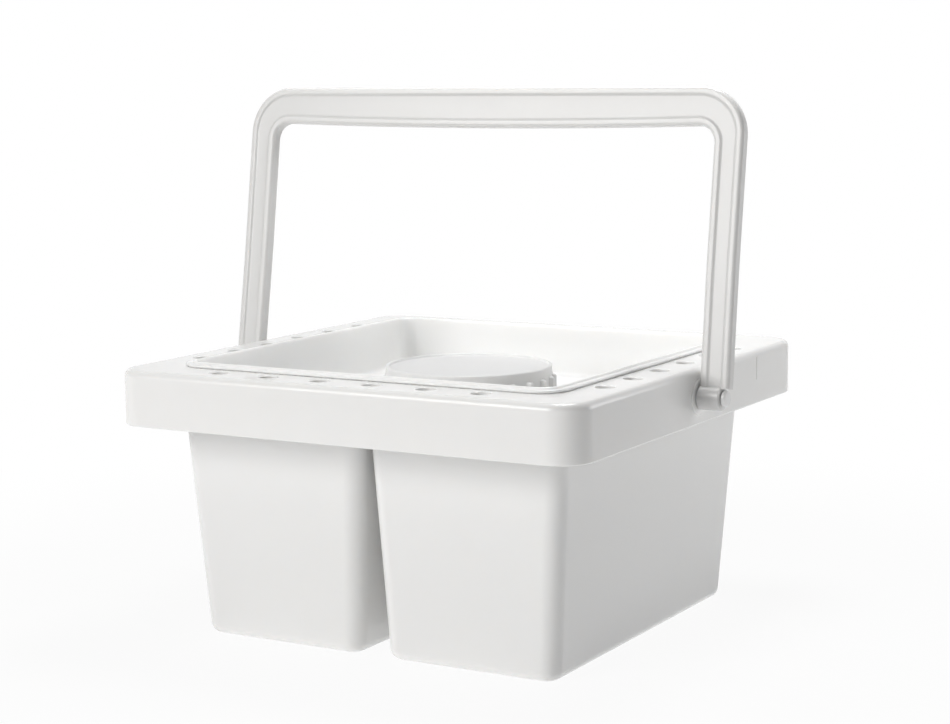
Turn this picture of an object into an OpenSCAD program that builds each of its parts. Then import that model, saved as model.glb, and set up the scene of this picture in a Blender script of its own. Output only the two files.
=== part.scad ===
// Square brush washer. Two wash basins hang under a skirted collar with brush holes, a deep
// tray lid drops into the collar, a ribbed cap closes the neck in the lid, and a carry
// handle swings on two pins.
// The origin is the centre of the footprint on the table, +Z is up and -Y is the front.

/* [Collar] */
// Width and depth of the square collar over its skirt
collar_w = 220; // [205:1:240]
// Height of the collar's top face above the table
collar_z = 117.2; // [108:0.1:130]
// Height of the skirt round the collar
skirt_h = 23.6; // [20:0.2:28]
// Corner radius of the skirt, seen from above
skirt_corner_r = 14; // [12:1:20]
// Radius rolled over the top edge of the skirt
skirt_edge_r = 3; // [1.5:0.5:4]
// Width of the flat land between the skirt's face and the lid opening
land_w = 20; // [19.5:0.1:24]
// Corner radius of the lid opening
well_corner_r = 10.7; // [8.5:0.1:12]
// Depth from the collar's top down to the rim of the basins
well_depth = 24.5; // [22:0.5:30]
// Lean of the well's wall from upright, in degrees
well_draft = 0.5; // [0.5:0.5:3]

/* [Basins] */
// Wall of the tub
wall = 2.2; // [1.8:0.1:2.6]
// Floor of the basins
floor_t = 2.6; // [2:0.1:3.5]
// Lean of a basin's outer side wall from upright, in degrees
side_draft = 4; // [2:0.1:5]
// Lean of a basin's wall beside the gap from upright, in degrees
gap_draft = 2.7; // [1.5:0.1:4]
// Lean of a basin's front and back walls from upright, in degrees
end_draft = 3.3; // [2:0.1:5]
// Ledge between the well's wall and a basin mouth, left and right
side_ledge = 0.2; // [0.1:0.1:3]
// Ledge between the well's wall and a basin mouth, front and back
end_ledge = 4.4; // [1:0.1:6]
// Gap between the two basins just under their rims
basin_gap = 3.7; // [3:0.1:8]
// Outer radius of a basin's upright edges
basin_edge_r = 7.4; // [6:0.1:9]
// Outer radius round a basin's floor
basin_floor_r = 4.5; // [4:0.1:6]
// Width of a scrubbing rib on a basin floor
scrub_rib_w = 3.2; // [2:0.2:4]
// Distance from one scrubbing rib to the next
scrub_pitch = 14; // [10:1:20]

/* [Brush holes] */
// Diameter of a brush hole
hole_d = 8; // [6:0.5:9.5]
// Distance from one brush hole to the next
hole_pitch = 25; // [20:0.5:28]
// Number of brush holes on each side
holes_per_side = 6; // [2:1:6]
// Distance of the brush holes from the skirt's outer face
hole_inset = 12; // [10:0.5:13]
// Bevel round the mouth of a brush hole
hole_bevel = 0.6; // [0.2:0.1:1]

/* [Lid] */
// Wall and floor of the lid
lid_wall = 1.9; // [1.5:0.1:2.4]
// Lean of the lid's wall from upright, in degrees
lid_draft = 2; // [1:0.5:3]
// Clearance between the lid's shoulder and the well's wall
lid_gap = 0.4; // [0.3:0.1:0.8]
// Height of the shoulder that centres the lid in its opening
lid_shoulder_h = 3; // [2:0.5:6]
// Set-back of the lid's wall below the shoulder
lid_step = 1.7; // [1:0.1:2]
// Width of the flange that rests on the land
lid_flange_w = 0.9; // [0.8:0.1:2]
// Thickness of the flange
lid_flange_t = 1.2; // [1:0.1:2]
// Height of the bead above the flange
lid_bead_h = 0.8; // [0.4:0.1:1.2]
// Radius where the lid's wall meets its floor
lid_fillet_r = 3; // [1.5:0.5:4]

/* [Cap] */
// Diameter of the cap over its smooth top edge
cap_d = 73; // [60:1:80]
// Depth of the cap's top below the collar's top
cap_drop = 5; // [3:0.5:8]
// Wall and top plate of the cap
cap_wall = 2; // [1.6:0.1:2.6]
// Depth of the dish in the cap's top
cap_dish = 1; // [0.5:0.1:1.5]
// Number of grip ribs round the cap
grip_ribs = 24; // [16:2:32]
// Width of a grip rib
grip_rib_w = 3; // [2:0.2:4]
// How far a grip rib stands out of the cap
grip_rib_proud = 2; // [1.2:0.1:2]
// Depth from the cap's top edge down to the tops of the ribs
grip_rib_drop = 4.5; // [3:0.5:7]
// Clearance between the cap and the neck, and under the cap
cap_gap = 0.4; // [0.3:0.1:0.8]
// Depth of the ring under the cap that plugs the neck
plug_h = 4; // [2:0.5:6]

/* [Handle] */
// Depth of the handle's pivot below the collar's top
pivot_drop = 12; // [10:0.5:14]
// Lean of the handle to the back in its resting pose, in degrees
handle_lean = 8.5; // [0:0.1:20]
// Gap between the skirt and the bar when the handle is folded flat
fold_gap = 1.5; // [1.5:0.1:5]
// Gap between the skirt and a leg
leg_gap = 1; // [1:0.1:3]
// Width of a leg, from its inner to its outer side
leg_w = 13.2; // [12.5:0.1:16]
// Height of the bar at its middle
bar_h = 17; // [15:0.5:20]
// Thickness of the handle from front to back
handle_t = 6; // [5:0.5:9]
// Width of the bead along the edges of the handle
bead_w = 4; // [3:0.1:4.4]
// Thickness of the web between the beads
web_t = 2.2; // [1.6:0.1:3]
// Outer radius of the handle's corners
handle_corner_r = 20.5; // [18:0.5:28]

/* [Pivot] */
// Diameter of a pivot pin's shank
pin_d = 4; // [3:0.1:5]
// Diameter of a pivot pin's head
pin_head_d = 6.8; // [6:0.1:7.4]
// Thickness of a pivot pin's head
pin_head_t = 2; // [1.5:0.1:2.5]
// Running clearance round a pin in the handle, and press clearance in the tub
pin_clear = 0.08; // [0.05:0.01:0.1]
// Diameter of the handle's hub
hub_d = 14; // [11:0.5:16]
// Diameter of the boss on the skirt behind the hub
boss_d = 15.2; // [12:0.2:17]
// How far that boss stands out of the skirt
boss_proud = 0.6; // [0.3:0.1:0.7]
// Distance of the upright rest rib on the skirt behind the pivot
rest_rib_y = 62; // [40:1:80]

/* [Hidden] */
$fn = 64;
HULL_FN = 32;
RIM_DISC_H = 0.5;
OVERLAP = 1;

// Gap left between parts that slide or turn past each other end to end
END_GAP = 0.3;

// Collar and well
skirt_half = collar_w / 2;
skirt_path = skirt_half - skirt_corner_r;
skirt_z = collar_z - skirt_h;
well_half = skirt_half - land_w;
well_path = well_half - well_corner_r;
rim_z = collar_z - well_depth;
well_lean = well_depth * tan(well_draft);

// Basin mouths, measured inside the wall at the rim
mouth_out = well_half - well_lean - side_ledge;
mouth_in = basin_gap / 2 + wall;
mouth_y = well_half - well_lean - end_ledge;

// Brush holes
hole_row = skirt_half - hole_inset;

// Lid
LID_SEAT = 0.1;
LID_BEAD_R = 1.15;
lid_half = well_half - lid_gap - lid_step;
lid_corner_r = well_corner_r - lid_gap - lid_step;
lid_flange_out = lid_step + lid_gap + lid_flange_w;
lid_path = lid_half - lid_corner_r;
lid_under_z = rim_z + END_GAP;
lid_floor_z = lid_under_z + lid_wall;
lid_flange_z = collar_z + LID_SEAT;
lid_lean = (lid_flange_z - lid_under_z) * tan(lid_draft);

// Cap and neck
cap_r = cap_d / 2;
cap_top_z = collar_z - cap_drop;
cap_under_z = cap_top_z - cap_dish - cap_wall;
cap_skirt_z = lid_floor_z + cap_gap;
cap_bore_r = cap_r - cap_wall;
neck_r = cap_bore_r - cap_gap;
neck_bore_r = neck_r - lid_wall;
neck_top_z = cap_under_z - cap_gap;
plug_r = neck_bore_r - cap_gap;
CAP_RIM_W = 1.5;
RIB_TIP_R = 0.5;

// Handle, drawn upright with its pivot at the origin
pivot_z = collar_z - pivot_drop;
leg_in = skirt_half + leg_gap;
leg_out = leg_in + leg_w;
reach = skirt_half + fold_gap + bar_h;
bead_r = bead_w / 2;
outer_x = leg_out - bead_r;
outer_h = reach - bead_r;
outer_turn_r = handle_corner_r - bead_r;
inner_x = leg_in + bead_r;
inner_turn_r = handle_corner_r - leg_w + bead_r;
turn_x = inner_x - inner_turn_r;
bar_low_h = reach - bar_h + bead_r;
inner_turn_h = bar_low_h - inner_turn_r;

// Hub and pins
HEAD_RECESS = 1.1;
hub_in = leg_in;
hub_out = leg_out - HEAD_RECESS - pin_head_t - END_GAP;
hub_r = hub_d / 2;
head_in = hub_out + END_GAP;
head_out = head_in + pin_head_t;
head_r = pin_head_d / 2;
outer_bead_foot_h = head_r + 2 * END_GAP;
BOSS_DEPTH = 3.3;
BOSS_WALL = 3;
boss_in = skirt_half - wall - BOSS_DEPTH;
CATCH_T = 1.2;
CATCH_PROUD = 0.6;
REST_RIB_H = 10;
REST_RIB_DROP = 1;
REST_RIB_W = 1.2;
REST_RIB_PROUD = 0.5;

// Sharp-cornered square of the given half-size, with its corners rounded
module rounded_square(half, r) {
    square([2 * half, 2 * (half - r)], center = true);
    square([2 * (half - r), 2 * half], center = true);
    for (x = [-1, 1], y = [-1, 1])
        translate([x * (half - r), y * (half - r)])
            circle(r);
}

// Runs a profile round a square: x is measured outward from the line of corner centres
module square_sweep(path_half) {
    for (turn = [0:3])
        rotate([0, 0, 90 * turn]) {
            translate([path_half, path_half, 0])
                rotate([90, 0, 0])
                    linear_extrude(2 * path_half)
                        children();
            translate([path_half, path_half, 0])
                rotate_extrude(angle = 90)
                    children();
        }
}

// Does the same for both ends of the part along X
module both_ends() {
    for (side = [0, 1])
        mirror([side, 0, 0])
            children();
}

// Rounded foot under a corner of a basin
module basin_foot(edge_r, floor_r) {
    rotate_extrude($fn = HULL_FN)
        intersection() {
            translate([edge_r - floor_r, floor_r])
                circle(floor_r);
            square([edge_r, floor_r]);
        }
}

// A basin's rounded, drafted form: inset moves every face inward from the outer skin
module basin_form(inset, low_z, high_z) {
    r = basin_edge_r - inset;
    hull() {
        for (z = [low_z, high_z]) {
            down = rim_z - z;
            skin = inset - wall;
            x_low = mouth_in + down * tan(gap_draft) + skin;
            x_high = mouth_out - down * tan(side_draft) - skin;
            y_half = mouth_y - down * tan(end_draft) - skin;
            for (x = [x_low + r, x_high - r], y = [r - y_half, y_half - r])
                translate([x, y, z])
                    if (z == low_z)
                        basin_foot(r, basin_floor_r - inset);
                    else
                        translate([0, 0, -RIM_DISC_H])
                            cylinder(h = RIM_DISC_H, r = r, $fn = HULL_FN);
        }
    }
}

// Section of the land's outer strip, its rolled edge and the skirt
module collar_profile() {
    r = skirt_corner_r;
    difference() {
        union() {
            translate([0, skirt_z])
                square([r, skirt_h - skirt_edge_r]);
            translate([0, collar_z - skirt_edge_r])
                square([r - skirt_edge_r, skirt_edge_r]);
            translate([r - skirt_edge_r, collar_z - skirt_edge_r])
                circle(skirt_edge_r);
        }
        translate([-1, skirt_z - 1])
            square([r - wall + 1, skirt_h - wall + 1]);
    }
}

// Section of the wall that drops from the land to the rim of the basins
module well_profile() {
    polygon([
        [well_corner_r, collar_z],
        [well_corner_r + wall, collar_z],
        [well_corner_r + wall - well_lean, rim_z - wall],
        [well_corner_r - well_lean, rim_z - wall],
    ]);
}

module collar() {
    square_sweep(skirt_path)
        collar_profile();
    square_sweep(well_path)
        well_profile();
    translate([0, 0, collar_z - wall])
        linear_extrude(wall)
            difference() {
                square(2 * skirt_path + OVERLAP, center = true);
                rounded_square(well_half + wall / 2, well_corner_r + wall / 2);
            }
    translate([0, 0, rim_z - wall])
        linear_extrude(wall)
            rounded_square(well_half - well_lean + wall / 2, well_corner_r - well_lean + wall / 2);
}

// Ribs across a basin floor that bristles are rubbed on
module scrub_ribs() {
    x_low = mouth_in + rim_z * tan(gap_draft) + basin_floor_r;
    x_high = mouth_out - rim_z * tan(side_draft) - basin_floor_r;
    y_half = mouth_y - rim_z * tan(end_draft) - basin_floor_r;
    count = floor(2 * y_half / scrub_pitch);
    for (i = [0:count])
        translate([x_low, (i - count / 2) * scrub_pitch, floor_t])
            rotate([0, 90, 0])
                cylinder(h = x_high - x_low, d = scrub_rib_w);
}

module brush_hole() {
    translate([0, 0, collar_z - 2 * wall])
        cylinder(h = 3 * wall, d = hole_d);
    translate([0, 0, collar_z - hole_bevel])
        cylinder(h = 2 * hole_bevel, d1 = hole_d, d2 = hole_d + 4 * hole_bevel);
}

module tub() {
    color([0.93, 0.93, 0.92])
        difference() {
            union() {
                difference() {
                    union() {
                        collar();
                        both_ends()
                            basin_form(0, 0, rim_z);
                    }
                    both_ends()
                        basin_form(wall, floor_t, rim_z + OVERLAP);
                }
                both_ends() {
                    scrub_ribs();
                    // Bosses that carry the pivot pin through the skirt
                    translate([boss_in, 0, pivot_z])
                        rotate([0, 90, 0])
                            cylinder(h = BOSS_DEPTH + wall / 2, d = pin_d + 2 * BOSS_WALL);
                    translate([skirt_half - wall / 2, 0, pivot_z])
                        rotate([0, 90, 0])
                            cylinder(h = wall / 2 + boss_proud, d = boss_d);
                    // Rib that keeps a folded leg off the skirt
                    translate([skirt_half - wall / 2, rest_rib_y - REST_RIB_W / 2, pivot_z - REST_RIB_DROP])
                        cube([wall / 2 + REST_RIB_PROUD, REST_RIB_W, REST_RIB_H]);
                }
            }
            for (turn = [0:3], i = [0:holes_per_side - 1])
                rotate([0, 0, 90 * turn])
                    translate([hole_row, (i - (holes_per_side - 1) / 2) * hole_pitch, 0])
                        brush_hole();
            both_ends()
                translate([boss_in - 1, 0, pivot_z])
                    rotate([0, 90, 0])
                        cylinder(h = BOSS_DEPTH + wall + boss_proud + 2, r = pin_d / 2 + pin_clear);
        }
}

// Section of the lid's flange, bead, shoulder, drafted wall and floor fillet
module lid_profile() {
    r = lid_corner_r;
    bead_h = lid_flange_z + lid_flange_t + lid_bead_h - LID_BEAD_R;
    polygon([
        [r - lid_wall, bead_h],
        [r - lid_wall + 2 * LID_BEAD_R, bead_h],
        [r - lid_wall + 2 * LID_BEAD_R, lid_flange_z],
        [r, lid_flange_z],
        [r - lid_lean, lid_under_z],
        [r - lid_lean - lid_wall, lid_under_z],
    ]);
    translate([r - lid_wall + LID_BEAD_R, bead_h])
        circle(LID_BEAD_R);
    translate([r - lid_wall / 2, lid_flange_z])
        square([lid_wall / 2 + lid_flange_out - lid_flange_t / 2, lid_flange_t]);
    translate([r + lid_flange_out - lid_flange_t / 2, lid_flange_z + lid_flange_t / 2])
        circle(lid_flange_t / 2);
    translate([r - lid_wall / 2, lid_flange_z - lid_shoulder_h])
        square([lid_wall / 2 + lid_step, lid_shoulder_h + lid_flange_t / 2]);
    difference() {
        translate([r - lid_lean - lid_wall - lid_fillet_r, lid_under_z])
            square([lid_fillet_r + lid_wall / 2, lid_wall + lid_fillet_r]);
        translate([r - lid_lean - lid_wall - lid_fillet_r, lid_floor_z + lid_fillet_r])
            circle(lid_fillet_r);
    }
}

module lid() {
    floor_half = lid_half - lid_lean - lid_wall;
    color([0.95, 0.95, 0.94]) {
        square_sweep(lid_path)
            lid_profile();
        difference() {
            union() {
                translate([0, 0, lid_under_z])
                    linear_extrude(lid_wall)
                        rounded_square(floor_half + lid_wall / 2, lid_corner_r - lid_lean - lid_wall / 2);
                translate([0, 0, lid_under_z])
                    cylinder(h = neck_top_z - lid_under_z, r = neck_r);
            }
            translate([0, 0, lid_under_z - 1])
                cylinder(h = neck_top_z - lid_under_z + 2, r = neck_bore_r);
        }
    }
}

// Upright rib with a rounded top
module grip_rib(height) {
    r = grip_rib_w / 2;
    rotate_extrude() {
        square([r, height - RIB_TIP_R]);
        square([r - RIB_TIP_R, height]);
        translate([r - RIB_TIP_R, height - RIB_TIP_R])
            circle(RIB_TIP_R);
    }
}

module cap() {
    rib_h = cap_top_z - grip_rib_drop - cap_skirt_z;
    color([0.91, 0.91, 0.91]) {
        rotate_extrude()
            difference() {
                union() {
                    translate([0, cap_skirt_z])
                        square([cap_r, cap_top_z - cap_skirt_z - CAP_RIM_W / 2]);
                    translate([cap_r - CAP_RIM_W / 2, cap_top_z - CAP_RIM_W / 2])
                        circle(CAP_RIM_W / 2);
                }
                translate([0, cap_top_z - cap_dish])
                    square([cap_r - CAP_RIM_W, cap_dish + 1]);
                translate([0, cap_skirt_z - 1])
                    square([cap_bore_r, cap_under_z - cap_skirt_z + 1]);
            }
        rotate_extrude()
            translate([plug_r - cap_wall, cap_under_z - plug_h])
                square([cap_wall, plug_h + cap_wall / 2]);
        for (i = [0:grip_ribs - 1])
            rotate([0, 0, 360 * i / grip_ribs])
                translate([cap_r + grip_rib_proud - grip_rib_w / 2, 0, cap_skirt_z])
                    grip_rib(rib_h);
    }
}

// Section of the bead: its width lies in the plane of the handle
module bead_profile() {
    flat = handle_t - bead_w;
    square([bead_w, flat], center = true);
    for (side = [-1, 1])
        translate([0, side * flat / 2])
            circle(bead_r);
}

// Straight bead of the given length from a point, along +Y of the drawing plane
module bead_run(length) {
    rotate([-90, 0, 0])
        linear_extrude(length)
            bead_profile();
}

// Bead round an arc, counted from +X of the drawing plane
module bead_turn(r, angle) {
    rotate_extrude(angle = angle)
        translate([r, 0])
            bead_profile();
}

// One half of the handle, in the drawing plane: x outward, y up from the pivot
module handle_half() {
    translate([outer_x, outer_bead_foot_h, 0])
        bead_run(outer_h - outer_turn_r - outer_bead_foot_h);
    translate([outer_x - outer_turn_r, outer_h - outer_turn_r, 0])
        bead_turn(outer_turn_r, 90);
    translate([inner_x, 0, 0])
        bead_run(inner_turn_h);
    translate([turn_x, inner_turn_h, 0])
        bead_turn(inner_turn_r, 90);
    translate([hub_in, 0, 0])
        rotate([0, 90, 0])
            cylinder(h = hub_out - hub_in, r = hub_r);
}

// Flat outline between the outer and the inner bead
module web_outline() {
    difference() {
        union() {
            translate([-outer_x, outer_bead_foot_h])
                square([2 * outer_x, outer_h - outer_turn_r - outer_bead_foot_h]);
            translate([outer_turn_r - outer_x, outer_h - outer_turn_r - OVERLAP])
                square([2 * (outer_x - outer_turn_r), outer_turn_r + OVERLAP]);
            for (side = [-1, 1])
                translate([side * (outer_x - outer_turn_r), outer_h - outer_turn_r])
                    circle(outer_turn_r);
        }
        translate([-inner_x, -OVERLAP])
            square([2 * inner_x, inner_turn_h + OVERLAP]);
        for (side = [-1, 1])
            translate([side * turn_x, inner_turn_h])
                circle(inner_turn_r);
        translate([-turn_x, 0])
            square([2 * turn_x, bar_low_h]);
    }
}

module handle() {
    color([0.94, 0.94, 0.93])
        translate([0, 0, pivot_z])
            rotate([90 - handle_lean, 0, 0])
                difference() {
                    union() {
                        both_ends()
                            handle_half();
                        translate([outer_turn_r - outer_x, outer_h, 0])
                            rotate([0, 0, -90])
                                bead_run(2 * (outer_x - outer_turn_r));
                        translate([-turn_x, bar_low_h, 0])
                            rotate([0, 0, -90])
                                bead_run(2 * turn_x);
                        translate([0, 0, -web_t / 2])
                            linear_extrude(web_t)
                                web_outline();
                    }
                    both_ends()
                        translate([hub_in - 1, 0, 0])
                            rotate([0, 90, 0])
                                cylinder(h = hub_out - hub_in + 2, r = pin_d / 2 + pin_clear);
                }
}

// A headed pin along +X: the barbed end snaps behind the boss inside the skirt
module pivot_pin() {
    shank_r = pin_d / 2;
    catch_x = boss_in - END_GAP;
    translate([0, 0, pivot_z])
        rotate([0, 90, 0])
            rotate_extrude()
                polygon([
                    [0, catch_x - CATCH_T],
                    [shank_r, catch_x - CATCH_T],
                    [shank_r + CATCH_PROUD, catch_x - CATCH_T / 3],
                    [shank_r + CATCH_PROUD, catch_x],
                    [shank_r, catch_x],
                    [shank_r, head_in],
                    [head_r, head_in],
                    [head_r, head_out - CATCH_PROUD],
                    [head_r - CATCH_PROUD, head_out],
                    [0, head_out],
                ]);
}

module pivot_pin_right() {
    color([0.9, 0.9, 0.9])
        pivot_pin();
}

module pivot_pin_left() {
    color([0.9, 0.9, 0.9])
        mirror([1, 0, 0])
            pivot_pin();
}

tub();
lid();
cap();
handle();
pivot_pin_left();
pivot_pin_right();
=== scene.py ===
import math

import bmesh
import bpy
from mathutils import Matrix, Vector


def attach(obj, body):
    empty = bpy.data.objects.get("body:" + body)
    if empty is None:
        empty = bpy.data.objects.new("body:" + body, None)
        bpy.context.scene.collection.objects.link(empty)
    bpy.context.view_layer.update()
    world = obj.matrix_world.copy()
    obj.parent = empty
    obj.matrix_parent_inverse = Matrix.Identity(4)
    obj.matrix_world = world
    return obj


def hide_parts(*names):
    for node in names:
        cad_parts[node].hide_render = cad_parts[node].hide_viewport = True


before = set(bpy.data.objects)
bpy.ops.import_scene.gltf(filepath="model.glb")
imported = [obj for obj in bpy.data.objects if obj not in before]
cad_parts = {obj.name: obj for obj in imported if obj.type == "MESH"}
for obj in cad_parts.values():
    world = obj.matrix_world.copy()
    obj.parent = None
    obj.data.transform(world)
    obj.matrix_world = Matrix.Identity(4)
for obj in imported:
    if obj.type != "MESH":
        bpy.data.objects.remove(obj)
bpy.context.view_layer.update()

# All sizes are in millimetres and degrees, as in the CAD source, unless a comment says otherwise
MM = 0.001
# How far a cut runs past the face it opens
PAST = 1.0


def tan_deg(angle):
    return math.tan(math.radians(angle))


# Collar, well and the plate between the basins' mouths
SKIRT_HALF = 110.0
SKIRT_R = 14.0
SKIRT_EDGE_R = 3.0
SKIRT_FOOT_IN_R = 0.5
SKIRT_FOOT_OUT_R = 0.6
SKIRT_Z = 93.6
COLLAR_Z = 117.2
WALL = 2.2
WELL_HALF = 90.0
WELL_R = 10.7
WELL_DRAFT = 0.5
WELL_MOUTH_R = 0.7
WELL_FOOT_R = 0.15
RIM_Z = 92.7
WELL_LEAN = round((COLLAR_Z - RIM_Z) * tan_deg(WELL_DRAFT), 3)
LAND_MID = (SKIRT_HALF + WELL_HALF) / 2
BEVEL = 1.0
WIDE_BEVEL = 1.2
COLLAR_MIN_R = 0.6
PLATE_HOLE_HALF = 60.0
PLATE_HALF = 70.0
PLATE_R = 2.0
CORNER_STEPS = 12

# Basins and the scrubbing ribs on their floors
BASIN_GAP = 3.7
SIDE_LEDGE = 0.2
END_LEDGE = 4.4
MOUTH_IN = BASIN_GAP / 2 + WALL
MOUTH_OUT = WELL_HALF - WELL_LEAN - SIDE_LEDGE
MOUTH_Y = WELL_HALF - WELL_LEAN - END_LEDGE
SIDE_DRAFT = 4.0
GAP_DRAFT = 2.7
END_DRAFT = 3.3
BASIN_EDGE_R = 7.4
BASIN_FLOOR_R = 4.5
BASIN_OUT_TOP = RIM_Z - 0.6
BASIN_IN_TOP = RIM_Z - 0.7
FLOOR_T = 2.6
# Depth below the rim, and how far the mouth has opened out there
MOUTH_FLARE = ((0.35, 0.02), (0.1, 0.07), (-0.02, 0.16), (-2.0, 0.16))
SCRUB_RIB_R = 1.6
SCRUB_RIB_PITCH = 14.0

# Brush holes
HOLE_D = 8.0
HOLE_MOUTH_R = 0.6
HOLE_ROW = 98.0
HOLE_PITCH = 25.0
HOLES = 6

# Lid
LID_GAP = 0.4
LID_STEP = 1.7
LID_DRAFT = 2.0
LID_WALL = 1.9
LID_HALF = WELL_HALF - LID_GAP - LID_STEP
LID_R = WELL_R - LID_GAP - LID_STEP
LID_MIN_R = 0.5
LID_UNDER_Z = RIM_Z + 0.3
LID_FLOOR_Z = LID_UNDER_Z + LID_WALL
LID_FLANGE_Z = COLLAR_Z + 0.1
LID_LEAN = round((LID_FLANGE_Z - LID_UNDER_Z) * tan_deg(LID_DRAFT), 3)
LID_FLANGE_W = 0.9
LID_FLANGE_T = 1.2
LID_FLANGE_R = 0.6
LID_BEAD_R = 1.15
LID_TOP_Z = LID_FLANGE_Z + 2.0
LID_SHOULDER_H = 3.0
LID_SHOULDER_BEVEL = 0.4
LID_SHOULDER_ROOT_IN = 0.1
LID_SHOULDER_ROOT_DROP = 0.3
LID_FLANGE_BEVEL = 0.35
LID_BEAD_FOOT_W = 0.35
LID_BEAD_FOOT_IN = 0.1
LID_BEAD_FOOT_H = 0.08
LID_BEAD_TO_WALL = 0.6
LID_FOOT_R = 1.0
LID_FILLET_R = 3.0
LID_HOLE_HALF = 45.0
LID_PLATE_HALF = 55.0

# Cap and the lid's neck
CAP_R = 36.5
CAP_WALL = 2.0
CAP_RIM_W = 1.5
CAP_RIM_R = 0.75
CAP_TOP_Z = 112.2
CAP_MID_Z = 101.2
CAP_SKIRT_Z = 95.3
CAP_UNDER_Z = CAP_TOP_Z - 3.0
CAP_EDGE = 0.3
CAP_UNDER_BEVEL = 0.8
DISH_DEPTH = 1.0
DISH_R = 0.5
DISH_MID_R = 20.0
DISH_FLAT = 0.1
NECK_GAP = 0.4
NECK_R = CAP_R - CAP_WALL - NECK_GAP
NECK_BORE_R = NECK_R - LID_WALL
NECK_TOP_Z = CAP_UNDER_Z - NECK_GAP
NECK_EDGE_R = 0.5
NECK_BEVEL = 0.8
NECK_STEPS = 128
NECK_ROOT_IN = 0.5
NECK_ROOT_H = 0.2
# How far the neck's filleted foot reaches out, at heights above the lid's floor
NECK_FOOT = ((1.0, -0.1), (0.35, 0.25), (0.0, 1.0))
NECK_BORE_PAST = 0.01
PLUG_OUT_R = NECK_BORE_R - NECK_GAP
PLUG_IN_R = PLUG_OUT_R - CAP_WALL
PLUG_H = 4.0
PLUG_BEVEL = 0.6
PLUG_ROOT_BEVEL = 0.5
GRIP_RIBS = 24
GRIP_RIB_R = 1.5
GRIP_RIB_OUT = 0.5
GRIP_RIB_DROP = 4.5
GRIP_RIB_HALF_ANGLE = math.degrees(GRIP_RIB_R / (CAP_R + GRIP_RIB_OUT))
GRIP_RIB_FAIR = 1.25
GRIP_RIB_FOOT_SHARE = 0.8
# Depth below a grip rib's top, and the share of its full stand there
GRIP_RIB_TOP = ((-0.5, 0.0), (-0.05, 0.0), (0.0, 0.15), (0.12, 0.5), (0.35, 0.78), (0.7, 0.94), (1.2, 1.0))

# Handle, with its hubs, the bosses they bear on and the ribs that keep a folded leg off the skirt
PIVOT_Z = 105.2
HANDLE_LEAN = 8.5
LEG_GAP = 1.0
LEG_W = 13.2
LEG_IN = SKIRT_HALF + LEG_GAP
LEG_OUT = LEG_IN + LEG_W
REACH = 128.5
CORNER_R = 20.5
HANDLE_T = 6.0
BEAD_W = 4.0
BEAD_OUT_R = 1.6
BEAD_IN_R = 1.2
BEAD_CREST = 2.6
BEAD_FALL = 42
EDGE_HALF_T = 0.5
# Distance from a bead's inner edge, and height over the web there
WEB_FAIRING = ((-0.1, 0.06), (0.3, 0.0))
BOSS_R = 7.6
BOSS_ROOT = 108.1
BOSS_FACE = 110.6
BOSS_EDGE = 0.3
BOSS_CORE_R = 5.0
BOSS_CORE_ROOT = 104.5
BOSS_CORE_END = 108.5
REST_RIB_Y = 62.0
REST_RIB_W = 1.2
REST_RIB_ROOT = 109.0
REST_RIB_FACE = 110.25
REST_RIB_EDGE = 0.2
REST_RIB_LOW = PIVOT_Z - 1.0
REST_RIB_HIGH = PIVOT_Z + 9.0

# Pins, and the hubs' outer faces that their heads lie against
HUB_OUT = LEG_OUT - 3.4
PIN_R = 2.0
PIN_BORE_R = 2.08
PIN_TIP = 103.0
PIN_TIP_R = 1.6
# Distance from the tip, and the barb's radius there
PIN_BARB = ((0.3, 2.0), (0.8, 2.6), (1.15, 2.6), (1.2, 2.0))
PIN_HEAD_R = 3.4
PIN_HEAD_IN = HUB_OUT + 0.3
PIN_HEAD_OUT = PIN_HEAD_IN + 2.0
PIN_HEAD_EDGE_R = 0.9
PIN_HEAD_BEVEL = 0.2
PIN_HEAD_FLAT_R = 1.2
PIN_NECK_H = 0.2
PIN_NECK_OUT = 0.1
TUB_BORE_END = 113.0
HUB_BORE_START = LEG_IN - 2.0
HUB_BORE_END = HUB_OUT + 4.0

# Fine forms that only the picture shows: legs drawn in above the hubs, the bar's slight sag, a recess
# between the beads that is shallower than the source's, and slimmer hubs
LEG_DRAW_IN = 0.6
LEG_DRAW_H = 60.0
BAR_MID_H = 17.8
BAR_END_H = 16.4
WEB_SEEN_T = 4.8
BARREL_R = 5.2
BARREL_EDGE = 0.2
BARREL_END_EDGE = 0.7
HEAD_ROOM_IN = HUB_OUT - 0.3
HEAD_ROOM_OUT = 127.0
HEAD_ROOM_HALF = 5.0
HEAD_ROOM_LOW = -9.0
HEAD_ROOM_HIGH = 4.0


# Helpers for shapes

def arc(cx, cy, r, a0, a1, n):
    """Points along an arc of n steps, both ends included."""
    pts = []
    for i in range(n + 1):
        a = math.radians(a0 + (a1 - a0) * i / n)
        pts.append((cx + r * math.cos(a), cy + r * math.sin(a)))
    return pts


def ring(bm, points):
    """A loop of vertices at points given in millimetres."""
    return [bm.verts.new((x * MM, y * MM, z * MM)) for x, y, z in points]


def rounded_ring(bm, x0, x1, y0, y1, r, z):
    """A loop round a rectangle with rounded corners, counter-clockwise from the +X +Y corner."""
    points = []
    corners = [(x1 - r, y1 - r, 0), (x0 + r, y1 - r, 90), (x0 + r, y0 + r, 180), (x1 - r, y0 + r, 270)]
    for cx, cy, start in corners:
        points += [(x, y, z) for x, y in arc(cx, cy, r, start, start + 90, CORNER_STEPS)]
    return ring(bm, points)


def square_ring(bm, half, r, z):
    return rounded_ring(bm, -half, half, -half, half, r, z)


def bridge(bm, a, b):
    """Faces between two loops of as many vertices."""
    n = len(a)
    for i in range(n):
        j = (i + 1) % n
        bm.faces.new((a[i], a[j], b[j], b[i]))


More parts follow.
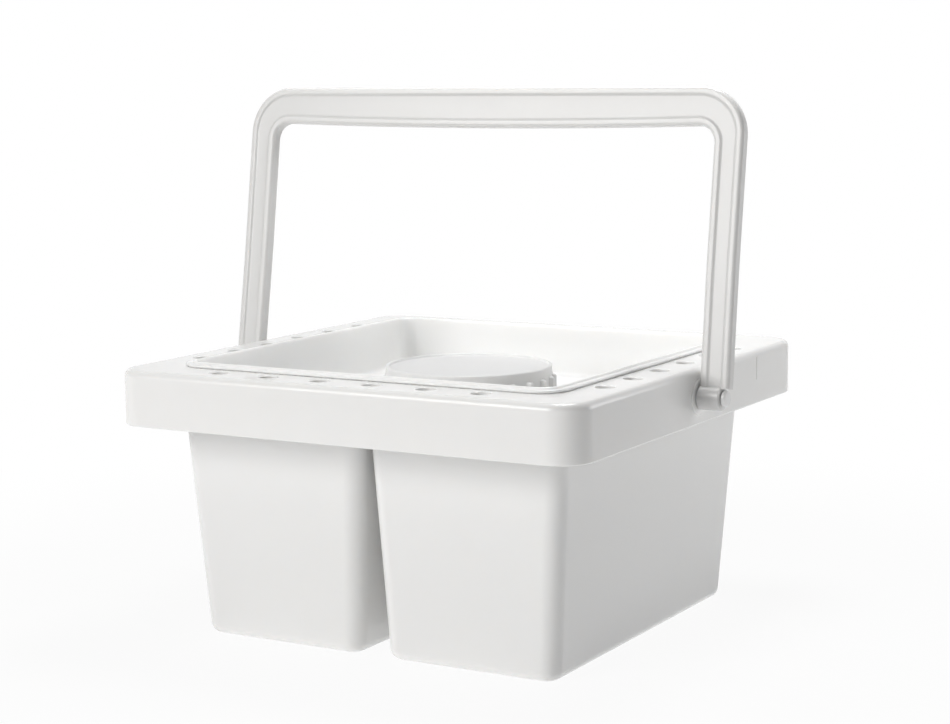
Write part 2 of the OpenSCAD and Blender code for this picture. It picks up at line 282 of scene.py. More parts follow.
def loft(bm, rings, closed=False):
    """A skin over a row of loops: closed joins the last to the first, otherwise both ends get a face."""
    for a, b in zip(rings, rings[1:]):
        bridge(bm, a, b)
    if closed:
        bridge(bm, rings[-1], rings[0])
    else:
        bm.faces.new(list(reversed(rings[0])))
        bm.faces.new(rings[-1])


def join_loops(bm, loops):
    """Faces between turned loops, where a loop of one vertex is a point on the axis."""
    for a, b in zip(loops, loops[1:]):
        n = max(len(a), len(b))
        if len(a) == len(b):
            bridge(bm, a, b)
            continue
        for i in range(n):
            j = (i + 1) % n
            if len(a) == 1:
                bm.faces.new((a[0], b[i], b[j]))
            else:
                bm.faces.new((a[i], b[0], a[j]))


def lathe(bm, profile, n, matrix=Matrix.Identity(4)):
    """Turns (radius, height) points round Z and places the result; end points on the axis close it."""
    loops = []
    for r, z in profile:
        steps = n if r > 0 else 1
        loop = []
        for i in range(steps):
            a = 2 * math.pi * i / n
            loop.append(bm.verts.new(matrix @ Vector((r * math.cos(a) * MM, r * math.sin(a) * MM, z * MM))))
        loops.append(loop)
    join_loops(bm, loops)


def across(side, z):
    """Places a lathe's axis along X at height z, pointing out to the right (1) or the left (-1)."""
    return Matrix.Translation((0, 0, z * MM)) @ Matrix.Rotation(math.radians(90 * side), 4, "Y")


def to_object(bm, name):
    bmesh.ops.recalc_face_normals(bm, faces=bm.faces[:])
    mesh = bpy.data.meshes.new(name)
    bm.to_mesh(mesh)
    bm.free()
    ob = bpy.data.objects.new(name, mesh)
    bpy.context.scene.collection.objects.link(ob)
    return ob


def boolean(target, bm, operation):
    """Joins the form in bm to the target (UNION) or cuts it away (DIFFERENCE)."""
    other = to_object(bm, "form")
    modifier = target.modifiers.new("form", "BOOLEAN")
    modifier.operation = operation
    modifier.solver = "EXACT"
    modifier.object = other
    bpy.context.view_layer.update()
    graph = bpy.context.evaluated_depsgraph_get()
    mesh = bpy.data.meshes.new_from_object(target.evaluated_get(graph))
    target.modifiers.clear()
    old_meshes = (target.data, other.data)
    target.data = mesh
    bpy.data.objects.remove(other)
    for old in old_meshes:
        bpy.data.meshes.remove(old)


def finish_shading(ob, angle):
    """Smooth shading with the flats kept flat: edges sharper than the angle stay sharp."""
    mesh = ob.data
    for p in mesh.polygons:
        p.use_smooth = True
    bm = bmesh.new()
    bm.from_mesh(mesh)
    for e in bm.edges:
        e.smooth = len(e.link_faces) != 2 or e.calc_face_angle(0) < math.radians(angle)
    bm.to_mesh(mesh)
    bm.free()
    weighted = ob.modifiers.new("weighted", "WEIGHTED_NORMAL")
    weighted.mode = "FACE_AREA"
    weighted.weight = 60
    weighted.keep_sharp = True


# Tub

def collar_section():
    """Closed section as (half width, height) points: skirt, rolled edge, land, well wall and plate."""
    skirt_in = SKIRT_HALF - WALL
    well_foot = WELL_HALF - WELL_LEAN
    under_z = COLLAR_Z - WALL
    foot_in = SKIRT_FOOT_IN_R
    foot_out = SKIRT_FOOT_OUT_R
    path = arc(skirt_in + foot_in, SKIRT_Z + foot_in, foot_in, 180, 270, 3)
    path += arc(SKIRT_HALF - foot_out, SKIRT_Z + foot_out, foot_out, 270, 360, 4)
    path += arc(SKIRT_HALF - SKIRT_EDGE_R, COLLAR_Z - SKIRT_EDGE_R, SKIRT_EDGE_R, 0, 90, 10)
    path += arc(WELL_HALF + WELL_MOUTH_R, COLLAR_Z - WELL_MOUTH_R, WELL_MOUTH_R, 90, 180, 5)
    path += arc(well_foot - WELL_FOOT_R, RIM_Z + WELL_FOOT_R, WELL_FOOT_R, 0, -90, 2)
    path += [
        (PLATE_HOLE_HALF, RIM_Z),
        (PLATE_HOLE_HALF, RIM_Z - WALL),
        (well_foot + WALL - WIDE_BEVEL, RIM_Z - WALL),
        (well_foot + WALL, RIM_Z - WALL + BEVEL),
        (WELL_HALF + WALL, under_z - BEVEL),
        (WELL_HALF + WALL + BEVEL, under_z),
        (skirt_in - WIDE_BEVEL, under_z),
        (skirt_in, under_z - WIDE_BEVEL),
    ]
    return path


def make_collar():
    bm = bmesh.new()
    rings = []
    for half, z in collar_section():
        if half > LAND_MID:
            r = SKIRT_R - (SKIRT_HALF - half)
        else:
            r = WELL_R - (WELL_HALF - half)
        rings.append(square_ring(bm, half, max(COLLAR_MIN_R, r), z))
    loft(bm, rings, closed=True)
    return to_object(bm, "tub_moulding")


def square_plate(half, r, low_z, high_z):
    bm = bmesh.new()
    loft(bm, [square_ring(bm, half, r, z) for z in (low_z, high_z)])
    return bm


def basin_ring(bm, side, z, skin, r):
    """One level of a basin: skin is how far the loop lies inward of the inner face."""
    down = max(0.0, RIM_Z - z)
    xa = MOUTH_IN + down * tan_deg(GAP_DRAFT) + skin
    xb = MOUTH_OUT - down * tan_deg(SIDE_DRAFT) - skin
    y = MOUTH_Y - down * tan_deg(END_DRAFT) - skin
    if side < 0:
        xa, xb = -xb, -xa
    return rounded_ring(bm, xa, xb, -y, y, r, z)


def basin_rings(bm, side, inset, low_z, high_z):
    """Drafted rounded basin form with its floor radius; inset moves every face in from the outside."""
    edge_r = BASIN_EDGE_R - inset
    floor_r = BASIN_FLOOR_R - inset
    skin = inset - WALL
    rings = []
    for out, up in arc(0, 0, floor_r, 90, 2, 8):
        shrink = floor_r - out
        rings.append(basin_ring(bm, side, low_z + floor_r - up, skin + shrink, edge_r - shrink))
    wall_low_z = low_z + floor_r
    levels = 6
    for i in range(1, levels + 1):
        z = wall_low_z + (high_z - wall_low_z) * i / levels
        rings.append(basin_ring(bm, side, z, skin, edge_r))
    return rings


def add_basins(tub):
    for side in (1, -1):
        bm = bmesh.new()
        loft(bm, basin_rings(bm, side, 0.0, 0.0, BASIN_OUT_TOP))
        boolean(tub, bm, "UNION")
    for side in (1, -1):
        bm = bmesh.new()
        rings = basin_rings(bm, side, WALL, FLOOR_T, BASIN_IN_TOP)
        for depth, flare in MOUTH_FLARE:
            rings.append(basin_ring(bm, side, RIM_Z - depth, -flare, BASIN_EDGE_R - WALL + flare))
        loft(bm, rings)
        boolean(tub, bm, "DIFFERENCE")


def add_scrub_ribs(tub):
    x_low = MOUTH_IN + RIM_Z * tan_deg(GAP_DRAFT) + BASIN_FLOOR_R
    x_high = MOUTH_OUT - RIM_Z * tan_deg(SIDE_DRAFT) - BASIN_FLOOR_R
    y_half = MOUTH_Y - RIM_Z * tan_deg(END_DRAFT) - BASIN_FLOOR_R
    gaps = int(2 * y_half / SCRUB_RIB_PITCH)
    bm = bmesh.new()
    for side in (1, -1):
        for i in range(gaps + 1):
            section = arc((i - gaps / 2) * SCRUB_RIB_PITCH, FLOOR_T, SCRUB_RIB_R, -20, 200, 11)
            loft(bm, [ring(bm, [(side * x, y, z) for y, z in section]) for x in (x_low, x_high)])
    boolean(tub, bm, "UNION")


def add_bosses(tub):
    """Round bosses on the skirt that the hubs bear on, each with a core behind the skirt's wall."""
    boss = [(0.0, BOSS_ROOT), (BOSS_R, BOSS_ROOT), (BOSS_R, BOSS_FACE - BOSS_EDGE),
            (BOSS_R - BOSS_EDGE, BOSS_FACE), (0.0, BOSS_FACE)]
    core = [(0.0, BOSS_CORE_ROOT), (BOSS_CORE_R, BOSS_CORE_ROOT), (BOSS_CORE_R, BOSS_CORE_END),
            (0.0, BOSS_CORE_END)]
    bm = bmesh.new()
    for side in (1, -1):
        lathe(bm, boss, 48, across(side, PIVOT_Z))
        lathe(bm, core, 32, across(side, PIVOT_Z))
    boolean(tub, bm, "UNION")


def add_rest_ribs(tub):
    """Upright ribs on the skirt that keep a leg off it when the handle is folded to the back."""
    half_w = REST_RIB_W / 2
    edge = REST_RIB_EDGE
    section = [
        (-half_w, REST_RIB_ROOT),
        (half_w, REST_RIB_ROOT),
        (half_w, REST_RIB_FACE - edge),
        (half_w - edge, REST_RIB_FACE),
        (edge - half_w, REST_RIB_FACE),
        (-half_w, REST_RIB_FACE - edge),
    ]
    bm = bmesh.new()
    for side in (1, -1):
        rings = []
        for z in (REST_RIB_LOW, REST_RIB_HIGH):
            rings.append(ring(bm, [(side * x, REST_RIB_Y + y, z) for y, x in section]))
        loft(bm, rings)
    boolean(tub, bm, "UNION")


def cut_brush_holes(tub):
    """A row of holes with rounded mouths along each side of the land."""
    low_z = COLLAR_Z - 2 * WALL
    past_z = COLLAR_Z + PAST
    mouth_r = HOLE_D / 2 + HOLE_MOUTH_R
    profile = [(0.0, low_z), (HOLE_D / 2, low_z)]
    profile += arc(mouth_r, COLLAR_Z - HOLE_MOUTH_R, HOLE_MOUTH_R, 180, 90, 4)
    profile += [(mouth_r, past_z), (0.0, past_z)]
    bm = bmesh.new()
    for quarter in range(4):
        turn = Matrix.Rotation(quarter * math.pi / 2, 4, "Z")
        for i in range(HOLES):
            along = (i - (HOLES - 1) / 2) * HOLE_PITCH
            lathe(bm, profile, 40, Matrix.Translation(turn @ Vector((HOLE_ROW * MM, along * MM, 0))))
    boolean(tub, bm, "DIFFERENCE")


def cut_pin_bores(target, start, end, z, n):
    """The pins' bores on both sides, from x = start to x = end."""
    bm = bmesh.new()
    for side in (1, -1):
        lathe(bm, [(0.0, start), (PIN_BORE_R, start), (PIN_BORE_R, end), (0.0, end)], n, across(side, z))
    boolean(target, bm, "DIFFERENCE")


def make_tub():
    tub = make_collar()
    boolean(tub, square_plate(PLATE_HALF, PLATE_R, RIM_Z - WALL, RIM_Z), "UNION")
    add_basins(tub)
    add_scrub_ribs(tub)
    add_bosses(tub)
    add_rest_ribs(tub)
    cut_brush_holes(tub)
    cut_pin_bores(tub, PIN_TIP, TUB_BORE_END, PIVOT_Z, 32)
    finish_shading(tub, 32)
    return tub


# Lid

def lid_section():
    """Closed section as (half width, height) points: outside, shoulder, flange, bead, inside and floor."""
    foot = LID_HALF - LID_LEAN
    foot_in = foot - LID_WALL
    shoulder_z = LID_FLANGE_Z - LID_SHOULDER_H
    step = LID_HALF + LID_STEP
    flange = step + LID_GAP + LID_FLANGE_W
    flange_top_z = LID_FLANGE_Z + LID_FLANGE_T
    inner = LID_HALF - LID_WALL
    bead_out = inner + 2 * LID_BEAD_R
    bead_z = LID_TOP_Z - LID_BEAD_R
    path = arc(foot - LID_FOOT_R, LID_UNDER_Z + LID_FOOT_R, LID_FOOT_R, -90, -2, 4)
    path += [
        (LID_HALF - LID_SHOULDER_ROOT_IN, shoulder_z - LID_SHOULDER_ROOT_DROP),
        (step - LID_SHOULDER_BEVEL, shoulder_z),
        (step, shoulder_z + LID_SHOULDER_BEVEL),
        (step, LID_FLANGE_Z),
        (flange - LID_FLANGE_BEVEL, LID_FLANGE_Z),
    ]
    path += arc(flange - LID_FLANGE_R, LID_FLANGE_Z + LID_FLANGE_R, LID_FLANGE_R, -60, 90, 7)
    path += [(bead_out + LID_BEAD_FOOT_W, flange_top_z)]
    path += [(bead_out + LID_BEAD_FOOT_IN, flange_top_z + LID_BEAD_FOOT_H)]
    path += arc(inner + LID_BEAD_R, bead_z, LID_BEAD_R, 12, 168, 12)
    path += [(inner, bead_z - LID_BEAD_TO_WALL)]
    path += arc(foot_in - LID_FILLET_R, LID_FLOOR_Z + LID_FILLET_R, LID_FILLET_R, -2, -90, 7)
    path += [(LID_HOLE_HALF, LID_FLOOR_Z), (LID_HOLE_HALF, LID_UNDER_Z)]
    return path


def add_neck(lid):
    low_z = LID_UNDER_Z + NECK_ROOT_H
    profile = [(0.0, low_z), (NECK_R - NECK_ROOT_IN, low_z)]
    profile += [(NECK_R + out, LID_FLOOR_Z + up) for out, up in NECK_FOOT]
    profile += arc(NECK_R - NECK_EDGE_R, NECK_TOP_Z - NECK_EDGE_R, NECK_EDGE_R, 0, 90, 2)
    profile += [(0.0, NECK_TOP_Z)]
    bm = bmesh.new()
    lathe(bm, profile, NECK_STEPS)
    boolean(lid, bm, "UNION")


def cut_neck_bore(lid):
    low_z = LID_UNDER_Z - PAST
    high_z = NECK_TOP_Z + PAST
    foot_r = NECK_BORE_R + NECK_BEVEL
    mouth_r = NECK_BORE_R + NECK_EDGE_R
    profile = [(0.0, low_z), (foot_r, low_z), (foot_r, LID_UNDER_Z), (NECK_BORE_R, LID_UNDER_Z + NECK_BEVEL)]
    profile += arc(mouth_r, NECK_TOP_Z - NECK_EDGE_R + NECK_BORE_PAST, NECK_EDGE_R, 180, 90, 2)
    profile += [(mouth_r, high_z), (0.0, high_z)]
    bm = bmesh.new()
    lathe(bm, profile, NECK_STEPS)
    boolean(lid, bm, "DIFFERENCE")


def make_lid():
    bm = bmesh.new()
    rings = []
    for half, z in lid_section():
        rings.append(square_ring(bm, half, max(LID_MIN_R, LID_R - (LID_HALF - half)), z))
    loft(bm, rings, closed=True)
    lid = to_object(bm, "lid_tray")
    boolean(lid, square_plate(LID_PLATE_HALF, PLATE_R, LID_UNDER_Z, LID_FLOOR_Z), "UNION")
    add_neck(lid)
    cut_neck_bore(lid)
    finish_shading(lid, 32)
    return lid


# Cap

def cap_section():
    """Section as (radius, height, share) points, where share is how much of a grip rib stands there."""
    dish_z = CAP_TOP_Z - DISH_DEPTH
    dish_r = CAP_R - CAP_RIM_W - DISH_R
    smooth = [(0.0, dish_z), (DISH_MID_R, dish_z), (dish_r - DISH_FLAT, dish_z)]
    smooth += arc(dish_r, CAP_TOP_Z - DISH_R, DISH_R, 270, 337.5, 3)
    smooth += arc(CAP_R - CAP_RIM_R, CAP_TOP_Z - CAP_RIM_R, CAP_RIM_R, 180, 0, 8)
    rib_top_z = CAP_TOP_Z - GRIP_RIB_DROP
    ribbed = [(CAP_R, rib_top_z - depth, share) for depth, share in GRIP_RIB_TOP]
    ribbed += [(CAP_R, CAP_MID_Z, 1.0), (CAP_R, CAP_SKIRT_Z + CAP_EDGE, 1.0)]
    ribbed += [(CAP_R - CAP_EDGE, CAP_SKIRT_Z, GRIP_RIB_FOOT_SHARE)]
    inner = CAP_R - CAP_WALL
    plug_z = CAP_UNDER_Z - PLUG_H
    under = [
        (inner + CAP_EDGE, CAP_SKIRT_Z),
        (inner, CAP_SKIRT_Z + CAP_EDGE),
        (inner, CAP_UNDER_Z - CAP_UNDER_BEVEL),
        (inner - CAP_UNDER_BEVEL, CAP_UNDER_Z),
        (PLUG_OUT_R + CAP_EDGE, CAP_UNDER_Z),
        (PLUG_OUT_R, CAP_UNDER_Z - CAP_EDGE),
        (PLUG_OUT_R, plug_z + PLUG_BEVEL),
        (PLUG_OUT_R - PLUG_BEVEL, plug_z),
        (PLUG_IN_R + CAP_EDGE, plug_z),
        (PLUG_IN_R, plug_z + CAP_EDGE),
        (PLUG_IN_R, CAP_UNDER_Z - PLUG_ROOT_BEVEL),
        (PLUG_IN_R - PLUG_ROOT_BEVEL, CAP_UNDER_Z),
        (0.0, CAP_UNDER_Z),
    ]
    return [(r, z, 0.0) for r, z in smooth] + ribbed + [(r, z, 0.0) for r, z in under]


def rib_stand(angle):
    """How far the cap's skin stands out at an angle: a round rib at each pitch, with faired feet."""
    pitch = 360 / GRIP_RIBS
    near = abs((angle + pitch / 2) % pitch - pitch / 2) / GRIP_RIB_HALF_ANGLE
    if near < 1:
        return GRIP_RIB_OUT + GRIP_RIB_R * math.sqrt(1 - near * near)
    if near < GRIP_RIB_FAIR:
        k = (GRIP_RIB_FAIR - near) / (GRIP_RIB_FAIR - 1)
        return GRIP_RIB_OUT * k * k
    return 0.0


def make_cap():
    steps = 24 * GRIP_RIBS
    angles = [360.0 * i / steps for i in range(steps)]
    stands = [rib_stand(a) for a in angles]
    bm = bmesh.new()
    loops = []
    for r, z, share in cap_section():
        if r > 0:
            points = []
            for a, stand in zip(angles, stands):
                reach = r + stand * share
                points.append((reach * math.cos(math.radians(a)), reach * math.sin(math.radians(a)), z))
        else:
            points = [(0.0, 0.0, z)]
        loops.append(ring(bm, points))
    join_loops(bm, loops)
    cap = to_object(bm, "neck_cap")
    finish_shading(cap, 40)
    return cap


# Handle

def draw_in(h):
    """How far a leg has been drawn in at a height above the pivot."""
    k = min(1.0, max(0.0, h / LEG_DRAW_H))
    return LEG_DRAW_IN * k * k * (3 - 2 * k)


def handle_outlines():
    """Outer and inner edge of the right half as matched points, in the handle's own plane (x, height)."""
    corner_x = LEG_OUT - LEG_DRAW_IN - CORNER_R
    corner_in_r = CORNER_R - LEG_W
    corner_h = REACH - CORNER_R
    corner_in_h = REACH - BAR_END_H - corner_in_r
    outer = []
    inner = []
    leg_steps = 24
    for i in range(leg_steps + 1):
        h_out = corner_h * i / leg_steps
        h_in = corner_in_h * i / leg_steps
        outer.append((LEG_OUT - draw_in(h_out), h_out))
        inner.append((LEG_IN - draw_in(h_in), h_in))
    outer += arc(corner_x, corner_h, CORNER_R, 0, 90, 16)[1:]
    inner += arc(corner_x, corner_in_h, corner_in_r, 0, 90, 16)[1:]
    bar_steps = 30
    for i in range(1, bar_steps + 1):
        x = corner_x * (1 - i / bar_steps)
        outer.append((x, REACH))
        inner.append((x, REACH - BAR_MID_H + (BAR_MID_H - BAR_END_H) * (x / corner_x) ** 2))
    return outer, inner


def handle_section(width):
    """Section from the outer edge (u = 0) to the inner edge (u = width), as (u, half thickness) points."""
    top = HANDLE_T / 2
    web = WEB_SEEN_T / 2
    half = [(0.0, EDGE_HALF_T)]
    half += arc(BEAD_OUT_R, top - BEAD_OUT_R, BEAD_OUT_R, 180, 90, 8)
    half += arc(BEAD_CREST, top - BEAD_IN_R, BEAD_IN_R, 90, BEAD_FALL, 5)
    half += [(BEAD_W + along, web + rise) for along, rise in WEB_FAIRING]
    return half + [(width - u, v) for u, v in reversed(half)]


def mirrored(points):
    """An outline of the right half continued over the middle into the left half."""
    return points + [(-x, h) for x, h in reversed(points[:-1])]


def make_frame_of_handle():
    outer, inner = handle_outlines()
    bm = bmesh.new()
    loops = []
    for (ox, oh), (ix, ih) in zip(mirrored(outer), mirrored(inner)):
        width = math.hypot(ox - ix, oh - ih)
        dx = (ix - ox) / width
        dh = (ih - oh) / width
        front = [(ox + dx * u, -v, oh + dh * u) for u, v in handle_section(width)]
        back = [(x, -y, h) for x, y, h in reversed(front)]
        loops.append(ring(bm, front + back))
    loft(bm, loops)
    return to_object(bm, "carry_handle")


def cut_head_room(handle):
    """Cuts the legs back on their outer side below the hub's top, so that the pin's head has room."""
    half = HEAD_ROOM_HALF
    corners = [(HEAD_ROOM_IN, -half), (HEAD_ROOM_OUT, -half), (HEAD_ROOM_OUT, half), (HEAD_ROOM_IN, half)]
    bm = bmesh.new()
    for side in (1, -1):
        rings = []
        for h in (HEAD_ROOM_LOW, HEAD_ROOM_HIGH):
            rings.append(ring(bm, [(side * x, y, h) for x, y in corners]))
        loft(bm, rings)
    boolean(handle, bm, "DIFFERENCE")


def add_hubs(handle):
    barrel = [
        (0.0, LEG_IN),
        (BARREL_R - BARREL_EDGE, LEG_IN),
        (BARREL_R, LEG_IN + BARREL_EDGE),
        (BARREL_R, HUB_OUT - BARREL_END_EDGE),
        (BARREL_R - BARREL_EDGE, HUB_OUT - BARREL_EDGE),
        (BARREL_R - BARREL_END_EDGE, HUB_OUT),
        (0.0, HUB_OUT),
    ]
    bm = bmesh.new()
    for side in (1, -1):
        lathe(bm, barrel, 64, across(side, 0))
    boolean(handle, bm, "UNION")


def make_handle():
    """The handle is made upright with its pivot at the origin, then leaned back and lifted into place."""
    handle = make_frame_of_handle()
    cut_head_room(handle)
    add_hubs(handle)
    cut_pin_bores(handle, HUB_BORE_START, HUB_BORE_END, 0, 40)
    lean = Matrix.Rotation(math.radians(-HANDLE_LEAN), 4, "X")
    handle.data.transform(Matrix.Translation((0, 0, PIVOT_Z * MM)) @ lean)
    finish_shading(handle, 35)
    return handle


# Pins

def make_pin(side, name):
    """Snap pin from its barbed tip inside the skirt to its rounded head."""
    profile = [(0.0, PIN_TIP), (PIN_TIP_R, PIN_TIP)]
    profile += [(r, PIN_TIP + along) for along, r in PIN_BARB]
    profile += [
        (PIN_R, PIN_HEAD_IN - PIN_NECK_H),
        (PIN_R + PIN_NECK_OUT, PIN_HEAD_IN),
        (PIN_HEAD_R - PIN_HEAD_BEVEL, PIN_HEAD_IN),
        (PIN_HEAD_R, PIN_HEAD_IN + PIN_HEAD_BEVEL),
    ]
    edge_r = PIN_HEAD_EDGE_R
    profile += arc(PIN_HEAD_R - edge_r, PIN_HEAD_OUT - edge_r, edge_r, 0, 90, 7)
    profile += [(PIN_HEAD_FLAT_R, PIN_HEAD_OUT), (0.0, PIN_HEAD_OUT)]
    bm = bmesh.new()
    lathe(bm, profile, 48, across(side, PIVOT_Z))
    pin = to_object(bm, name)
    finish_shading(pin, 40)
    return pin


# Helpers for shader nodes

def add_node(tree, kind, inputs=None, operation=None):
    """A shader node with its input values set by name or place."""
    new = tree.nodes.new(kind)
    for name, value in (inputs or {}).items():
        new.inputs[name].default_value = value
    if operation:
        new.operation = operation
    return new


def seen_rays(tree):
    """Output that is 1 for camera and glossy rays and 0 for all others."""
    path = add_node(tree, "ShaderNodeLightPath")
    seen = add_node(tree, "ShaderNodeMath", operation="MAXIMUM")
    tree.links.new(path.outputs["Is Camera Ray"], seen.inputs[0])
    tree.links.new(path.outputs["Is Glossy Ray"], seen.inputs[1])
    return seen.outputs[0]


def new_material(name):
    mat = bpy.data.materials.new(name)
    mat.use_nodes = True
    mat.node_tree.nodes.clear()
    return mat


# Plastics

def plastic(name, base, rough, bump, sss, scale=90.0):
    """Moulded white plastic: faint cloudiness, a gloss that varies finely and a slightly wavy skin."""
    mat = new_material(name)
    nt = mat.node_tree
    coords = add_node(nt, "ShaderNodeTexCoord")

    def noise(noise_scale, detail, roughness=0.5):
        inputs = {"Scale": noise_scale, "Detail": detail, "Roughness": roughness}
        texture = add_node(nt, "ShaderNodeTexNoise", inputs)
        nt.links.new(coords.outputs["Object"], texture.inputs["Vector"])
        return texture.outputs["Fac"]

    out = add_node(nt, "ShaderNodeOutputMaterial")
    shader = add_node(nt, "ShaderNodeBsdfPrincipled", {
        "IOR": 1.49,
        "Subsurface Weight": sss,
        "Subsurface Radius": (1.0, 0.95, 0.9),
        "Subsurface Scale": 0.003,
    })
    nt.links.new(shader.outputs["BSDF"], out.inputs["Surface"])
    # soft cloudiness of the colour
    ramp = add_node(nt, "ShaderNodeValToRGB")
    dark, light = ramp.color_ramp.elements
    dark.position = 0.3
    light.position = 0.7
    cloud = 0.994
    cloud_blue = 0.995
    dark.color = (base[0] * cloud, base[1] * cloud, base[2] * cloud * cloud_blue, 1)
    light.color = (base[0], base[1], base[2], 1)
    nt.links.new(noise(18.0, 3.0, 0.55), ramp.inputs["Fac"])
    nt.links.new(ramp.outputs["Color"], shader.inputs["Base Color"])
    # gloss that varies with a finer noise
    gloss = add_node(nt, "ShaderNodeMapRange", {
        "From Min": 0.25,
        "From Max": 0.75,
        "To Min": rough - 0.02,
        "To Max": rough + 0.02,
    })
    nt.links.new(noise(scale, 6.0, 0.6), gloss.inputs["Value"])
    nt.links.new(gloss.outputs["Result"], shader.inputs["Roughness"])
    # moulded skin: broad waviness, then fine grain
    wave = add_node(nt, "ShaderNodeBump", {"Strength": 0.012, "Distance": 0.0004})
    nt.links.new(noise(35.0, 2.0), wave.inputs["Height"])
    grain = add_node(nt, "ShaderNodeBump", {"Strength": bump, "Distance": 0.0002})
    nt.links.new(noise(900.0, 3.0), grain.inputs["Height"])
    nt.links.new(wave.outputs["Normal"], grain.inputs["Normal"])
    nt.links.new(grain.outputs["Normal"], shader.inputs["Normal"])
    return mat


TUB_WHITE = plastic("tub_white_pp", (0.87, 0.867, 0.86), 0.2, bump=0.03, sss=0.5)
# The lid's base is paler than the tub's as painted light: it stands in for light that the plastic lets
# through and that bounces round the tray.
LID_WHITE_PAINTED_LIGHT = plastic("lid_pp_painted_light", (0.925, 0.923, 0.915), 0.32, bump=0.03, sss=0.5)
CAP_WHITE = plastic("cap_white_pp", (0.77, 0.77, 0.77), 0.38, bump=0.05, sss=0.4, scale=160.0)
# The handle's base is darker than the tub's as painted shade: it holds down the light that the near overhead
# lamp throws on the bar.
HANDLE_WHITE_PAINTED_SHADE = plastic("handle_pp_painted_shade", (0.705, 0.703, 0.698), 0.24, bump=0.03, sss=0.5)
PIN_WHITE = plastic("pin_white_pp", (0.85, 0.85, 0.85), 0.23, bump=0.03, sss=0.4, scale=240.0)


def fit(ob, body, node, mat):
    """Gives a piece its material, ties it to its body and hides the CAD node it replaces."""
    ob.data.materials.clear()
    ob.data.materials.append(mat)
    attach(ob, body)
    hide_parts(node)


fit(make_tub(), "tub", "tub", TUB_WHITE)
fit(make_lid(), "lid", "lid", LID_WHITE_PAINTED_LIGHT)
fit(make_cap(), "cap", "cap", CAP_WHITE)
fit(make_handle(), "handle", "handle", HANDLE_WHITE_PAINTED_SHADE)
fit(make_pin(1, "snap_pin_right"), "tub", "pivot_pin_right", PIN_WHITE)
fit(make_pin(-1, "snap_pin_left"), "tub", "pivot_pin_left", PIN_WHITE)

# Stage: floor, world and lamps, in metres

FLOOR_HALF = 6.0
FLOOR_GREY = 0.85
FLOOR_WHITE_SHARE = 0.93
FLOOR_FADE_FROM = 0.12
FLOOR_FADE_TO = 0.45
FLOOR_GLOW = 0.31
WORLD_DIM = 0.03


def floor_material():
    """Pale floor: matt, but mostly plain white to the camera so that the object's shadow stays faint."""
    mat = new_material("studio_floor")
    nt = mat.node_tree
    out = add_node(nt, "ShaderNodeOutputMaterial")
    matt = add_node(nt, "ShaderNodeBsdfDiffuse", {"Color": (FLOOR_GREY, FLOOR_GREY, FLOOR_GREY, 1)})
    white = add_node(nt, "ShaderNodeEmission", {"Color": (1, 1, 1, 1), "Strength": 1.0})
    seen = seen_rays(nt)
    # the white share grows to the whole away from the object
    coords = add_node(nt, "ShaderNodeTexCoord")
    distance = add_node(nt, "ShaderNodeVectorMath", operation="LENGTH")
    nt.links.new(coords.outputs["Object"], distance.inputs[0])
    fade = add_node(nt, "ShaderNodeMapRange", {
        "From Min": FLOOR_FADE_FROM,
        "From Max": FLOOR_FADE_TO,
        "To Min": FLOOR_WHITE_SHARE,
        "To Max": 1.0,
    })
    fade.interpolation_type = "SMOOTHSTEP"
    nt.links.new(distance.outputs["Value"], fade.inputs["Value"])
    share = add_node(nt, "ShaderNodeMath", operation="MULTIPLY")
    nt.links.new(seen, share.inputs[0])
    nt.links.new(fade.outputs["Result"], share.inputs[1])
    mix = add_node(nt, "ShaderNodeMixShader")
    nt.links.new(share.outputs[0], mix.inputs["Fac"])
    nt.links.new(matt.outputs[0], mix.inputs[1])
    nt.links.new(white.outputs[0], mix.inputs[2])
    # the lit sweep also throws a little light back up at the object
    unseen = add_node(nt, "ShaderNodeMath", {1: -FLOOR_GLOW, 2: FLOOR_GLOW}, "MULTIPLY_ADD")
    nt.links.new(seen, unseen.inputs[0])
    glow = add_node(nt, "ShaderNodeEmission")
    nt.links.new(unseen.outputs[0], glow.inputs["Strength"])
    both = add_node(nt, "ShaderNodeAddShader")
    nt.links.new(mix.outputs[0], both.inputs[0])
    nt.links.new(glow.outputs[0], both.inputs[1])
    nt.links.new(both.outputs[0], out.inputs["Surface"])
    return mat


def make_floor():
    s = FLOOR_HALF
    bm = bmesh.new()
    bm.faces.new([bm.verts.new((x, y, 0)) for x, y in ((-s, -s), (s, -s), (s, s), (-s, s))])
    floor = to_object(bm, "studio_floor")
    floor.data.materials.append(floor_material())


def make_world():
    """White to the camera and in reflections, and dim to all else."""
    world = bpy.data.worlds.new("studio")
    bpy.context.scene.world = world
    world.use_nodes = True
    nt = world.node_tree
    nt.nodes.clear()
    out = add_node(nt, "ShaderNodeOutputWorld")
    dim = add_node(nt, "ShaderNodeBackground", {"Color": (0.97, 0.985, 1.0, 1), "Strength": WORLD_DIM})
    white = add_node(nt, "ShaderNodeBackground", {"Color": (1, 1, 1, 1), "Strength": 1.0})
    mix = add_node(nt, "ShaderNodeMixShader")
    nt.links.new(seen_rays(nt), mix.inputs["Fac"])
    nt.links.new(dim.outputs[0], mix.inputs[1])
    nt.links.new(white.outputs[0], mix.inputs[2])
    nt.links.new(mix.outputs[0], out.inputs["Surface"])


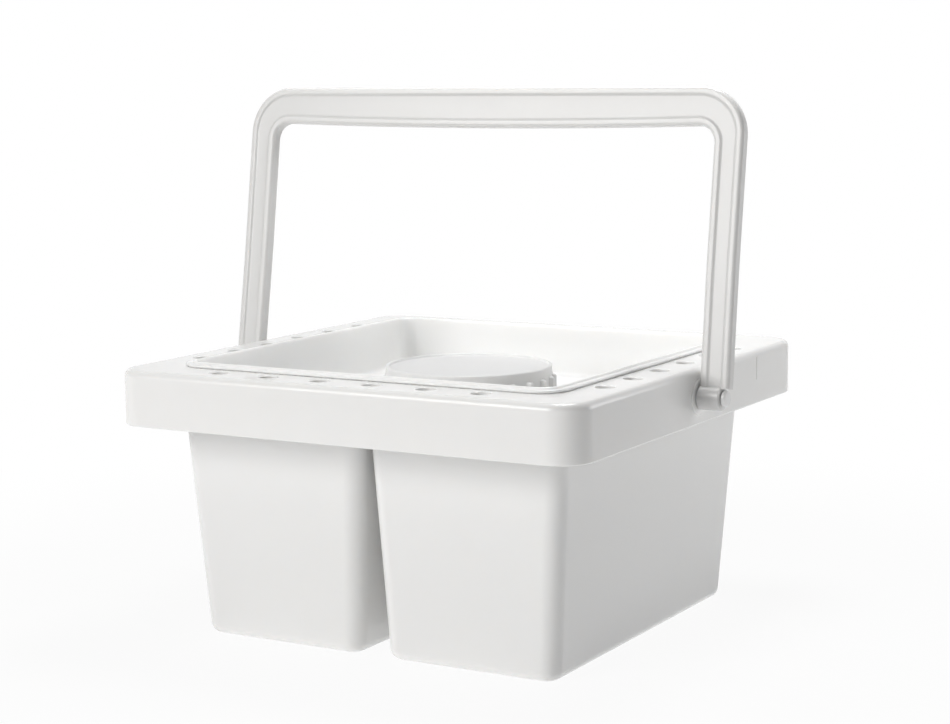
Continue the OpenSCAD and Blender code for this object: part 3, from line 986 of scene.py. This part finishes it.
def area_light(name, location, target, size, power, color=(1, 1, 1)):
    """Rectangular lamp of a size (width, height) that points at a target."""
    data = bpy.data.lights.new(name, "AREA")
    data.shape = "RECTANGLE"
    data.size, data.size_y = size
    data.energy = power
    data.color = color
    ob = bpy.data.objects.new(name, data)
    ob.location = location
    ob.rotation_euler = (Vector(target) - Vector(location)).to_track_quat("-Z", "Y").to_euler()
    bpy.context.scene.collection.objects.link(ob)


make_floor()
make_world()
area_light("key", location=(-0.85, -2.1, 1.0), target=(0, 0, 0.08), size=(1.3, 1.3), power=36.5,
           color=(1.0, 0.992, 0.98))
area_light("overhead", location=(0.03, 0.08, 0.52), target=(0, 0, 0.1), size=(0.16, 0.16), power=1.4)
area_light("back_right", location=(0.5, 0.42, 0.21), target=(0.1, 0.05, 0.06), size=(0.3, 0.3), power=0.85)

# Camera, as fitted to the photo: its bearing round the object, tilt and roll, and its place

CAMERA_AZ = math.radians(30.096)
CAMERA_EL = math.radians(7.992)
CAMERA_ROLL = math.radians(-0.6308)
CAMERA_EYE = Vector((467.89, -801.88, 243.41)) * MM
FOCAL_PX = 2136.38
PHOTO_WIDTH_PX = 950.0
SENSOR_W = 36.0


def make_camera():
    flat = math.cos(CAMERA_EL)
    forward = Vector((-math.sin(CAMERA_AZ) * flat, math.cos(CAMERA_AZ) * flat, -math.sin(CAMERA_EL)))
    level = Vector((math.cos(CAMERA_AZ), math.sin(CAMERA_AZ), 0))
    upright = level.cross(forward)
    right = level * math.cos(CAMERA_ROLL) + upright * math.sin(CAMERA_ROLL)
    up = -level * math.sin(CAMERA_ROLL) + upright * math.cos(CAMERA_ROLL)
    data = bpy.data.cameras.new("camera")
    data.sensor_fit = "HORIZONTAL"
    data.sensor_width = SENSOR_W
    data.lens = FOCAL_PX * SENSOR_W / PHOTO_WIDTH_PX
    data.clip_start = 0.05
    data.clip_end = 50.0
    camera = bpy.data.objects.new("camera", data)
    camera.matrix_world = Matrix((
        (right.x, up.x, -forward.x, CAMERA_EYE.x),
        (right.y, up.y, -forward.y, CAMERA_EYE.y),
        (right.z, up.z, -forward.z, CAMERA_EYE.z),
        (0, 0, 0, 1),
    ))
    bpy.context.scene.collection.objects.link(camera)
    bpy.context.scene.camera = camera


make_camera()
bpy.context.scene.view_settings.view_transform = "Standard"
